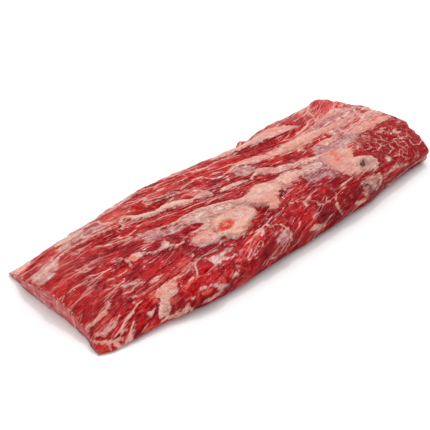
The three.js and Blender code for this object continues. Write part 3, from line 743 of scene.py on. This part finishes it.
def add_mesh(name, places, faces, fields, material):
    """A smooth mesh of points in metres, with its named fields as point attributes."""
    mesh = bpy.data.meshes.new(name)
    mesh.from_pydata(places.tolist(), [], faces)
    mesh.polygons.foreach_set("use_smooth", np.ones(len(mesh.polygons), bool))
    for field, values in fields.items():
        kind, key = ("FLOAT_VECTOR", "vector") if values.ndim == 2 else ("FLOAT", "value")
        attribute = mesh.attributes.new(field, kind, "POINT")
        attribute.data.foreach_set(key, values.astype(np.float32).ravel())
    mesh.update()
    piece = bpy.data.objects.new(name, mesh)
    bpy.context.scene.collection.objects.link(piece)
    mesh.materials.append(material)
    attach(piece, "root")
    return piece


class Skin:
    """What the slab's relief and its colours share at each point of the mesh."""

    def __init__(self, s, t, r, places):
        self.s, self.r = s, r
        self.x, self.y, self.z = places.T
        self.w = skin_distance(s, t, r)
        self.on_face = (np.abs(s) == 1) & (r < 1)
        self.under = r <= -1
        self.seam = self.w - smooth(SEAM, self.x)
        self.back = ease(self.seam, -SEAM_BLEND, SEAM_BLEND)
        self.wander = ragged(self.x, self.w, self.back)
        self.depth, self.ridge = fat_depth(self.x, self.w, self.wander)
        self.cut = inside_outline(CUT_OUTLINE, self.x, self.w)
        self.on_cut = ease(self.cut, *CUT_EDGE)
        self.broad, self.narrow = bundles(self.x, self.w, self.back)

    def lift(self):
        """How far each point is pushed out, by all the relief of the skin or by the hills of a face."""
        x, w, on_cut = self.x, self.w, self.on_cut
        bare = (1 - FAT_HIDES * ease(self.ridge, 0.3, 1)) * (1 - CUT_HIDES * on_cut)
        skin = self.ridge + mounds(x, w) + torn_edges(x, w) + (self.broad + self.narrow) * bare
        skin += bumps(CUT_LUMPS, x, w) * on_cut + bumps(SKIN_LUMPS, x, w) * (1 - on_cut)
        skin += bumps(BACK_CRAGS, x, w) * ease(w, *CRAG_EDGE)
        face = np.where(self.s < 0, bumps(THIN_FACE, self.y, self.z), bumps(FAR_FACE, self.y, self.z))
        return np.where(self.on_face, face, skin) * ease(self.z, *RELIEF_FADE) * ~self.under

    def rim(self, t):
        """1 on the thin end's upper edge, easing off down the face and a few millimetres over the top."""
        off_end = self.x - along_slab(self.s, t)[1]
        on_top = 1 - ease(off_end, *RIM_RUN)
        return np.where(self.on_face, ease(self.r, RIM_DEPTH, 1) * (self.s < 0), on_top)

    def run_of_fibres(self):
        """x, and the distance across the back fibres and across the front ones, or y on the underside."""
        across = across_back_fibres(self.x, self.w), across_front_fibres(self.x, self.w)
        return np.stack([self.x, *(np.where(self.under, self.y, run) for run in across)], 1)

    def fields(self, t):
        """Every field that the material reads, by name."""
        x, w = self.x, self.w
        bent = x + bumps(VEIN_BENDS[0], x, w), w + bumps(VEIN_BENDS[1], x, w)
        cover, purple = films(x, w, self.wander)
        shown = {name: spots(table, x, w) for name, table in SPOTS.items()}
        # The painted glow along the thin end's rim.
        shown["glow"] = np.maximum(RIM_GLOW * self.rim(t), shown["glow"])
        return shown | {
            "fibres": self.run_of_fibres(),
            "seam": self.seam,
            "fat": np.where(self.on_face | self.under, OUTSIDE, self.depth),
            "film": np.where(self.on_face, 0.0, cover),
            "purple": purple,
            # The narrow bundles' height, which the lean's tone follows as painted light on ridges and
            # painted shade in valleys.
            "ridge": self.narrow * (1 - self.on_cut),
            "cut": np.where(self.under, OUTSIDE, np.where(self.on_face, ON_FACE, self.cut)),
            "vein": np.min([beside_line(vein, *bent)[0] for vein in CUT_VEINS], axis=0),
            "thin_face": np.where((self.s == -1) & (self.r < 1), 1.0, 0.0),
        }


def slab(material):
    """The whole slab: the plain block, pushed out and in along its normals by all its relief."""
    grid, quads, triangles = block_grid()
    s, t, r = grid.T
    plain = slab_point(s, t, r)
    skin = Skin(s, t, r, plain)
    places = plain + vertex_normals(plain, quads, triangles) * skin.lift()[:, None]
    places[:, 2] = np.maximum(0, places[:, 2] - FLAT_TRIM)
    middle = (places.min(0) + places.max(0)) / 2
    middle[2] = 0
    faces = quads.tolist() + triangles.tolist()
    return add_mesh("ribeye_cap", (places - middle) * MM, faces, skin.fields(t), material), middle


# Materials


class Tree:
    """A node tree to build in: each call adds one node and gives its output."""

    def __init__(self, tree):
        self.tree = tree

    def feed(self, target, value):
        """Link the value where it is a node's output, and set it where it is a number."""
        if isinstance(value, bpy.types.NodeSocket):
            self.tree.links.new(value, target)
        else:
            target.default_value = value

    def add(self, kind, inputs, out=0, **settings):
        node = self.tree.nodes.new(kind)
        for key, value in settings.items():
            setattr(node, key, value)
        for key, value in inputs.items():
            self.feed(node.inputs[key], value)
        return node.outputs[out]

    def field(self, name):
        out = "Vector" if name == "fibres" else "Fac"
        return self.add("ShaderNodeAttribute", {}, out, attribute_name=name)

    def shaken(self, name, shake, amount):
        """One of the slab's fields plus the shake times an amount, which makes its edge uneven."""
        return self.math("MULTIPLY_ADD", shake, amount, self.field(name))

    def math(self, operation, a, b=0.0, c=0.0):
        return self.add("ShaderNodeMath", {0: a, 1: b, 2: c}, operation=operation)

    def total(self, start, *shares):
        """The start plus each value times its share."""
        for value, share in shares:
            start = self.math("MULTIPLY_ADD", value, share, start)
        return start

    def less(self, value, mask, loss, whole=1.0):
        """The value times a whole share that the mask lowers by up to the loss."""
        return self.math("MULTIPLY", value, self.math("MULTIPLY_ADD", mask, -loss, whole))

    def spread(self, value, low, high, to_low=0.0, to_high=1.0):
        """A smooth S from to_low, where the value is at low, to to_high, where it is at high."""
        inputs = {"Value": value, "From Min": low, "From Max": high, "To Min": to_low, "To Max": to_high}
        return self.add("ShaderNodeMapRange", inputs, interpolation_type="SMOOTHSTEP")

    def mix(self, factor, a, b):
        return self.add("ShaderNodeMix", {0: factor, 6: a, 7: b}, out=2, data_type="RGBA")

    def blend(self, factor, a, b):
        return self.add("ShaderNodeMix", {0: factor, 2: a, 3: b}, out=0, data_type="FLOAT")

    def over(self, base, name, value, low, high, share=1.0):
        """The base with a named tint laid over it as the value goes from low to high, up to a share."""
        return self.mix(self.spread(value, low, high, 0.0, share), base, tint(name))

    def tinted(self, base, name, mask, share):
        """The base with a named tint laid over it by the mask times the share."""
        return self.mix(self.math("MULTIPLY", mask, share), base, tint(name))

    def noise(self, vector, scale, detail, roughness):
        inputs = {"Vector": vector, "Scale": scale, "Detail": detail, "Roughness": roughness}
        return self.add("ShaderNodeTexNoise", inputs)


def tint(name):
    """A named tint, taken from its look on a screen to the shader's linear values by the screen's curve."""
    return (*(((v / 255 + 0.055) / 1.055) ** 2.4 if v > 10 else v / 3294 for v in TINTS[name]), 1.0)


def new_group(name, inputs, outputs):
    """An empty shader group with named sockets: the group, its tree, its inputs and its result node."""
    group = bpy.data.node_groups.new(name, "ShaderNodeTree")
    for socket, default in inputs.items():
        added = group.interface.new_socket(socket, in_out="INPUT", socket_type="NodeSocketFloat")
        added.default_value = default
    for socket in outputs:
        group.interface.new_socket(socket, in_out="OUTPUT", socket_type="NodeSocketFloat")
    given = group.nodes.new("NodeGroupInput").outputs
    result = group.nodes.new("NodeGroupOutput")
    return group, Tree(group), given, result


def streaks_group():
    """Streaks and long cells along the fibres, laid out on (along / length, across / width).

    Streak is smooth noise and Thread is 1 near its middle value; Tone is each cell's own value and
    Edge is the distance to the cell's edge.
    """
    inputs = {"Along": 0.0, "Across": 0.0, "Length": 20.0, "Width": 1.0, "Seed": 0.0, "Wander": 0.0}
    group, tree, given, result = new_group("fibre streaks", inputs, ["Streak", "Thread", "Tone", "Edge"])

    def laid_out(length, across, width):
        """The place counted in lengths along the fibres and in widths across them."""
        parts = {0: tree.math("DIVIDE", given["Along"], length), 1: tree.math("DIVIDE", across, width),
                 2: given["Seed"]}
        return tree.add("ShaderNodeCombineXYZ", parts)

    slow = laid_out(SWAY_LENGTH, given["Across"], SWAY_WIDTH)
    sway = tree.math("SUBTRACT", tree.noise(slow, 1.0, 1.0, 0.5), 0.5)
    across = tree.math("MULTIPLY_ADD", sway, given["Wander"], given["Across"])
    place = laid_out(given["Length"], across, given["Width"])
    streak = tree.noise(place, 1.0, 2.0, 0.55)
    tree.feed(result.inputs["Streak"], streak)
    off = tree.math("ABSOLUTE", tree.math("SUBTRACT", streak, 0.5))
    tree.feed(result.inputs["Thread"], tree.spread(off, *THREAD_EDGE, 1.0, 0.0))
    cell = tree.add("ShaderNodeTexVoronoi", {"Vector": place, "Scale": 1.0}, out="Color", feature="F1")
    tree.feed(result.inputs["Tone"], tree.add("ShaderNodeSeparateColor", {0: cell}))
    edge = tree.add("ShaderNodeTexVoronoi", {"Vector": place, "Scale": 1.0}, feature="DISTANCE_TO_EDGE")
    tree.feed(result.inputs["Edge"], edge)
    return group


def new_material(name):
    """An empty material, its tree and its shader."""
    material = bpy.data.materials.new(name)
    material.use_nodes = True
    material.node_tree.nodes.clear()
    shader = material.node_tree.nodes.new("ShaderNodeBsdfPrincipled")
    output = material.node_tree.nodes.new("ShaderNodeOutputMaterial")
    material.node_tree.links.new(shader.outputs["BSDF"], output.inputs["Surface"])
    return material, Tree(material.node_tree), shader


def fibre_coordinates(tree, shake):
    """Along and across the fibres of the muscle at hand; where they are cut, along is squeezed to blobs."""
    fibres = tree.field("fibres")
    along, across_back, across_front = (
        tree.add("ShaderNodeSeparateXYZ", {0: fibres}, out=k) for k in range(3))
    back = tree.math("GREATER_THAN", tree.shaken("seam", shake, 14.0), 0.0)
    across = tree.blend(back, across_front, across_back)
    cut = tree.math("GREATER_THAN", tree.shaken("cut", shake, 9.0), 0.0)
    return tree.math("MULTIPLY", along, tree.blend(cut, 1.0, BLOB_SQUEEZE)), across, cut


def grain_patterns(tree, group):
    """Every pattern that the colours, the gloss and the relief share."""
    position = tree.add("ShaderNodeTexCoord", {}, out="Object")
    grit = tree.noise(position, *GRIT)
    shake = tree.math("SUBTRACT", grit, 0.5)
    along, across, cut = fibre_coordinates(tree, shake)

    def streaks(length, width, seed, wander):
        """What the group gives for streaks of one size."""
        node = tree.tree.nodes.new("ShaderNodeGroup")
        node.node_tree = group
        given = dict(Along=along, Across=across, Length=length, Width=width, Seed=seed, Wander=wander)
        for key, value in given.items():
            tree.feed(node.inputs[key], value)
        return node.outputs

    flaky = tree.spread(streaks(*FLAKES)["Streak"], 0.42, 0.56)
    return SimpleNamespace(
        position=position, grit=grit, shake=shake, cut=cut,
        wide=streaks(*WIDE)["Streak"],
        middling=tree.blend(flaky, streaks(*LONG)["Streak"], streaks(*SHORT)["Streak"]),
        fine=streaks(*FINE)["Streak"],
        threads=streaks(*THREADS)["Thread"],
        broad=streaks(*BROAD_CELLS),
        thin=streaks(*THIN_CELLS),
        clumps=streaks(*CLUMPS)["Streak"],
        fringe=streaks(*FRINGE)["Streak"],
        patches=tree.noise(position, *PATCHES),
        mottle=tree.noise(position, *MOTTLE),
    )


def creases(tree, grain):
    """Painted shade in the crevices between fibre cells, weaker in clumps of fat and where the lean is
    pale.
    """
    lines = tree.math("MAXIMUM", tree.spread(grain.broad["Edge"], 0.02, 0.08, 0.9, 0.0),
                      tree.spread(grain.thin["Edge"], 0.0, 0.12, 0.6, 0.0))
    bare = tree.less(tree.spread(grain.clumps, 0.42, 0.54, 0.9, 0.1), tree.field("pale"), 0.8)
    return tree.math("MULTIPLY", lines, bare)


def marbling(tree, grain):
    """Thin pale threads and broader pale seams between the cells, both where fat gathers in clumps."""
    calm = tree.field("calm")
    cover = tree.math("MULTIPLY_ADD", tree.field("pale"), 0.1, grain.clumps)
    threads = tree.math("MULTIPLY", grain.threads, tree.spread(cover, 0.58, 0.66))
    seams = tree.spread(grain.broad["Edge"], 0.015, 0.055, 0.85, 0.0)
    seams = tree.math("MULTIPLY", seams, tree.spread(cover, 0.51, 0.59))
    return tree.less(threads, calm, 0.5, 0.7), tree.less(seams, tree.math("MAXIMUM", calm, grain.cut), 0.7)


def lean_colour(tree, grain):
    """Deep red in the grooves, pink on the fibres' backs, with patches, painted crease shade and marbling.
    """
    # The tone takes painted light and shade: the ridge field lightens the bundles' ridges and darkens their
    # valleys, and the dark field adds painted shade.
    tone = tree.total(0.0, (grain.wide, 0.12), (grain.middling, 0.20), (grain.fine, 0.40),
                      (grain.broad["Tone"], 0.03), (grain.thin["Tone"], 0.10), (grain.grit, 0.15),
                      (tree.field("pale"), 0.07), (tree.field("dark"), -0.09), (tree.field("ridge"), 0.05))
    lean = tree.over(tint("groove"), "lean", tone, 0.43, 0.49)
    lean = tree.over(lean, "fibre's back", tone, 0.542, 0.582)
    lean = tree.tinted(lean, "calm lean", tree.field("calm"), 0.45)
    lean = tree.over(lean, "crimson patch", grain.patches, 0.50, 0.40, 0.5)
    lean = tree.over(lean, "scarlet patch", grain.patches, 0.54, 0.64, 0.35)
    lean = tree.tinted(lean, "bright lean", tree.field("bright"), 0.5)
    lean = tree.mix(creases(tree, grain), lean, tint("crease"))
    threads, seams = marbling(tree, grain)
    lean = tree.mix(threads, lean, tint("thread"))
    return tree.mix(seams, lean, tint("seam"))


def cut_fibres(tree, grain, surface):
    """A redder ground with a web of thin white veins and a few thick ones, fewer on the end faces."""
    web = tree.add("ShaderNodeTexVoronoi", {"Vector": grain.position, "Scale": VEIN_WEB, "Randomness": 1.0},
                   feature="DISTANCE_TO_EDGE")
    thin = tree.math("MULTIPLY", tree.spread(web, 0.0, 0.055, 1.0, 0.0),
                     tree.spread(tree.noise(grain.position, *VEIN_GAPS), 0.52, 0.62))
    thick = tree.spread(tree.shaken("vein", grain.shake, 2.6), 0.1, 0.75, 1.0, 0.0)
    shown = tree.math("MULTIPLY", grain.cut, tree.spread(tree.field("cut"), 30.0, 50.0, 1.0, 0.35))
    veins = tree.math("MULTIPLY", tree.math("MAXIMUM", thin, thick), shown)
    surface = tree.tinted(surface, "cut lean", grain.cut, 0.35)
    return tree.tinted(surface, "cut vein", veins, 0.85)


def film_cover(tree, grain):
    """How strongly the films show: frayed along the fibres, and thinned where the lean is bright."""
    cover = tree.total(tree.field("film"), (tree.math("SUBTRACT", grain.middling, 0.5), 1.5),
                       (tree.math("SUBTRACT", grain.mottle, 0.5), 0.8), (tree.field("bright"), -0.7))
    return tree.spread(cover, 0.25, 0.85, 0.0, 0.92)


def film_colour(tree, grain):
    """Pinkish cream to grey-purple, redder where the film is thin and whiter where it is folded."""
    veil = tree.blend(0.65, grain.middling, grain.mottle)
    purple = tree.field("purple")
    thin, whole, folded = (tree.mix(purple, tint(state + " film"), tint(state + " silverskin"))
                           for state in ("thin", "whole", "folded"))
    skin = tree.mix(tree.spread(veil, 0.38, 0.5), thin, whole)
    skin = tree.mix(tree.spread(veil, 0.5, 0.6), skin, folded)
    return tree.mix(tree.spread(grain.fine, 0.5, 0.36, 0.0, 0.4), skin, thin)


def fat_edge(tree, grain):
    """Millimetres inside the fat's edge, which is fringed along the fibres."""
    fringe = tree.math("SUBTRACT", grain.fringe, 0.5)
    return tree.total(tree.field("fat"), (fringe, 6.0), (grain.shake, 4.5))


def fat_colour(tree, grain, depth):
    """Cream with white grains, peach and pink patches and bands, pink creases and a thinner, pinker rim."""
    grains = tree.noise(grain.position, *GRAINS)
    cream = tree.over(tint("fat hollow"), "fat", grains, 0.38, 0.5)
    cream = tree.over(cream, "fat grain", grains, 0.52, 0.62)
    cream = tree.over(cream, "fat streak", grain.middling, 0.52, 0.38, 0.5)
    cream = tree.over(cream, "peach band", grain.clumps, 0.48, 0.6, 0.5)
    cream = tree.over(cream, "peach patch", grain.patches, 0.5, 0.6, 0.5)
    cream = tree.over(cream, "mauve patch", grain.patches, 0.48, 0.38, 0.5)
    cream = tree.over(cream, "fat crease", grain.thin["Edge"], 0.06, 0.0, 0.5)
    cream = tree.tinted(cream, "pink fat", tree.field("pink"), 0.6)
    # Whiter where the white field says, partly a painted highlight on the fat lines' tops and the seam's
    # fold.
    cream = tree.tinted(cream, "white fat and highlight", tree.field("white"), 0.65)
    return tree.over(cream, "fat rim", depth, 0.9, -0.3, 0.45)


def eyes(tree, grain, surface):
    """The red eye and the other orange spots, with a redder core, and the grey eye with its dark core, also
    painted as shade in small holes.
    """
    # Orange spots, two of them painted glints on the fat.
    orange = tree.spread(tree.shaken("orange", grain.shake, 0.9), 0.25, 0.75)
    core = tree.math("MULTIPLY", tree.spread(tree.field("orange"), 0.8, 1.0),
                     tree.spread(grain.mottle, 0.54, 0.46))
    eye = tree.over(tint("eye"), "eye's pale grain", grain.mottle, 0.5, 0.62, 0.6)
    eye = tree.mix(core, eye, tint("eye's core"))
    surface = tree.mix(tree.math("MULTIPLY", orange, 0.9), surface, eye)
    # The grey field also marks painted shade in small holes and a faint painted shadow low on the front
    # side.
    grey = tree.shaken("grey", grain.shake, 1.6)
    surface = tree.over(surface, "grey eye", grey, 0.1, 0.5, 0.55)
    return tree.over(surface, "grey eye's core and hole shade", grey, 0.6, 0.95, 0.9)


def thin_end(tree, grain, surface):
    """The layers on the knife-cut face, and painted glow and highlights along its rim and on the corners.
    """
    stretched = tree.add("ShaderNodeMapping", {"Vector": grain.position, "Scale": FACE_LAYERS})
    layers = tree.noise(stretched, 1.0, 4.0, 0.75)
    face = tree.over(tint("cut face"), "face layer", layers, 0.4, 0.5)
    face = tree.over(face, "face vein", layers, 0.55, 0.64)
    surface = tree.mix(tree.math("MULTIPLY", tree.field("thin_face"), 0.9), surface, face)
    # Painted glow of light through the thin rim, with painted highlights where the lean is pale.
    glow = tree.spread(tree.shaken("glow", grain.shake, 1.2), 0.2, 0.9, 0.0, 0.85)
    pale = tree.math("MULTIPLY_ADD", tree.field("pale"), 0.14, grain.middling)
    return tree.mix(glow, surface, tree.over(tint("painted red rim glow"), "painted pale rim highlight", pale, 0.52, 0.64))


def add_gloss(tree, shader, grain, fat, film):
    """Moist lean under small wet glints, which fade on fat, film and calm lean; fat is even and duller."""
    lean_roughness = tree.spread(grain.fine, 0.3, 0.7, *LEAN_ROUGHNESS)
    tree.feed(shader.inputs["Roughness"], tree.blend(fat, lean_roughness, FAT_ROUGHNESS))
    wet = tree.math("MULTIPLY", tree.spread(grain.fine, 0.47, 0.57), tree.spread(grain.mottle, 0.48, 0.56))
    wet = tree.less(wet, tree.field("calm"), 0.4, 0.55)
    tree.feed(shader.inputs["Coat Weight"], tree.less(wet, tree.math("MAXIMUM", fat, film), 0.75))
    shader.inputs["Coat Roughness"].default_value = 0.17
    shader.inputs["Specular IOR Level"].default_value = 0.06


def add_fine_relief(tree, shader, grain, fat):
    """Fibres too fine for the mesh, flatter on the fat, which stands up and has grains of its own."""
    fibres = tree.less(tree.total(grain.middling, (grain.fine, 1.5), (grain.wide, 0.8)), fat, 0.65)
    height = tree.total(fibres, (fat, 0.45), (grain.grit, 0.4),
                        (tree.spread(grain.broad["Edge"], 0.0, 0.3), 0.3),
                        (tree.spread(grain.thin["Edge"], 0.0, 0.3), 0.15),
                        (tree.math("MULTIPLY", fat, grain.mottle), 2.0))
    bump = tree.add("ShaderNodeBump", {"Strength": 0.9, "Distance": FINE_RELIEF * MM, "Height": height})
    tree.feed(shader.inputs["Normal"], bump)


def beef_material(group):
    """Lean, cut fibres, films and fat, each shown where the slab's own fields say."""
    material, tree, shader = new_material("raw beef")
    grain = grain_patterns(tree, group)
    surface = cut_fibres(tree, grain, lean_colour(tree, grain))
    film = film_cover(tree, grain)
    surface = tree.mix(film, surface, film_colour(tree, grain))
    depth = fat_edge(tree, grain)
    fat = tree.spread(depth, -1.0, 0.5)
    surface = tree.mix(fat, surface, fat_colour(tree, grain, depth))
    surface = eyes(tree, grain, surface)
    tree.feed(shader.inputs["Base Color"], thin_end(tree, grain, surface))
    add_gloss(tree, shader, grain, fat, film)
    add_fine_relief(tree, shader, grain, fat)
    shader.inputs["Subsurface Weight"].default_value = 0.08
    shader.inputs["Subsurface Radius"].default_value = (1.0, 0.3, 0.2)
    shader.inputs["Subsurface Scale"].default_value = 2.0 * MM
    return material


def floor_material():
    """Nearly white and dull."""
    material, _, shader = new_material("pale floor")
    shader.inputs["Base Color"].default_value = tint("floor")
    shader.inputs["Roughness"].default_value = 0.9
    return material


# The stage


def add_floor():
    """A wide flat square just under the slab."""
    mesh = bpy.data.meshes.new("floor")
    corners = [(x * FLOOR_REACH, y * FLOOR_REACH, 0) for x, y in ((-1, -1), (1, -1), (1, 1), (-1, 1))]
    mesh.from_pydata(corners, [], [(0, 1, 2, 3)])
    mesh.materials.append(floor_material())
    floor = bpy.data.objects.new("floor", mesh)
    bpy.context.scene.collection.objects.link(floor)
    floor.location.z = -FLOOR_GAP * MM


def direction(round_by, above):
    """The unit vector at an angle round from the front edge's side (-Y) and an angle above the floor."""
    turn, rise = math.radians(round_by), math.radians(above)
    return np.array([math.sin(turn) * math.cos(rise), -math.cos(turn) * math.cos(rise), math.sin(rise)])


def add_sun(name, strength, spread):
    """A far light, softer as its disc spreads over more degrees."""
    lamp = bpy.data.lights.new(name, "SUN")
    lamp.energy = strength
    lamp.angle = math.radians(spread)
    light = bpy.data.objects.new(name, lamp)
    light.rotation_mode = "QUATERNION"
    light.rotation_quaternion = Vector(direction(LIGHT_ROUND, LIGHT_ABOVE)).to_track_quat("Z", "Y")
    bpy.context.scene.collection.objects.link(light)


def add_world(strength):
    """An even white sky."""
    world = bpy.data.worlds.new("studio")
    world.use_nodes = True
    background = world.node_tree.nodes["Background"]
    background.inputs["Color"].default_value = (1, 1, 1, 1)
    background.inputs["Strength"].default_value = strength
    bpy.context.scene.world = world


def add_camera(point):
    """The camera looks at the point from CAMERA_AWAY off, round and above by its two angles."""
    back = direction(CAMERA_ROUND, CAMERA_ABOVE)
    lens = bpy.data.cameras.new("camera")
    lens.lens = LENS
    lens.sensor_width = SENSOR
    lens.clip_end = 20
    camera = bpy.data.objects.new("camera", lens)
    camera.location = (np.array(point) + back * CAMERA_AWAY) * MM
    camera.rotation_mode = "QUATERNION"
    camera.rotation_quaternion = Vector(-back).to_track_quat("-Z", "Y")
    bpy.context.scene.collection.objects.link(camera)
    bpy.context.scene.camera = camera


cap, middle = slab(beef_material(streaks_group()))
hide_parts("rib_cap")

add_camera(np.array(CAMERA_POINT) - middle - (0, 0, FLAT_TRIM))
add_floor()
add_world(SKY_STRENGTH)
add_sun("key", *KEY_LIGHT)
add_sun("glints", *GLINT_LIGHT)
bpy.context.scene.view_settings.view_transform = "Standard"
